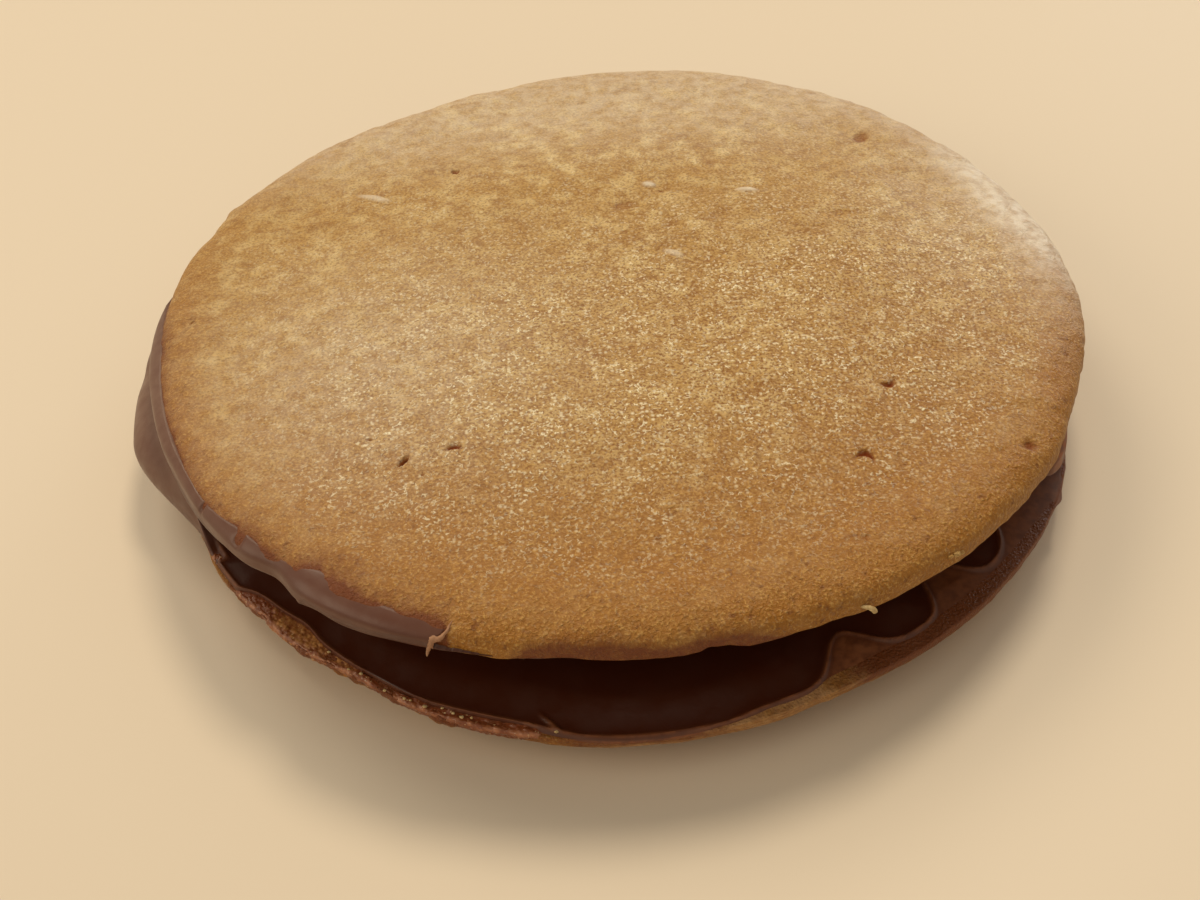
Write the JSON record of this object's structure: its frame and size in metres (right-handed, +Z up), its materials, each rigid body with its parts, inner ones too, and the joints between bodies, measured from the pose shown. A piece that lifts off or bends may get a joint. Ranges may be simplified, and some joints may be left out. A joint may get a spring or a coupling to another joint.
{
  "type": "sandwich cookie",
  "caption": "Round sandwich cookie: thin golden biscuits, flat faces inward, coated with milk chocolate that joins at the back and parts at the front.",
  "frame": {"origin": "under the middle of the whole cookie, on the surface that it stands on", "axes": "+Z up through the thickness, the open mouth towards -Y, the squeezed-out lump of chocolate towards -X"},
  "size_m": [0.0704, 0.069, 0.0127],
  "materials": {
    "biscuit": null,
    "chocolate": null
  },
  "bodies": {
    "root": {"bottom_biscuit": "biscuit", "lower_chocolate": "chocolate", "upper_chocolate": "chocolate", "top_biscuit": "biscuit"}
  },
  "joints": []
}
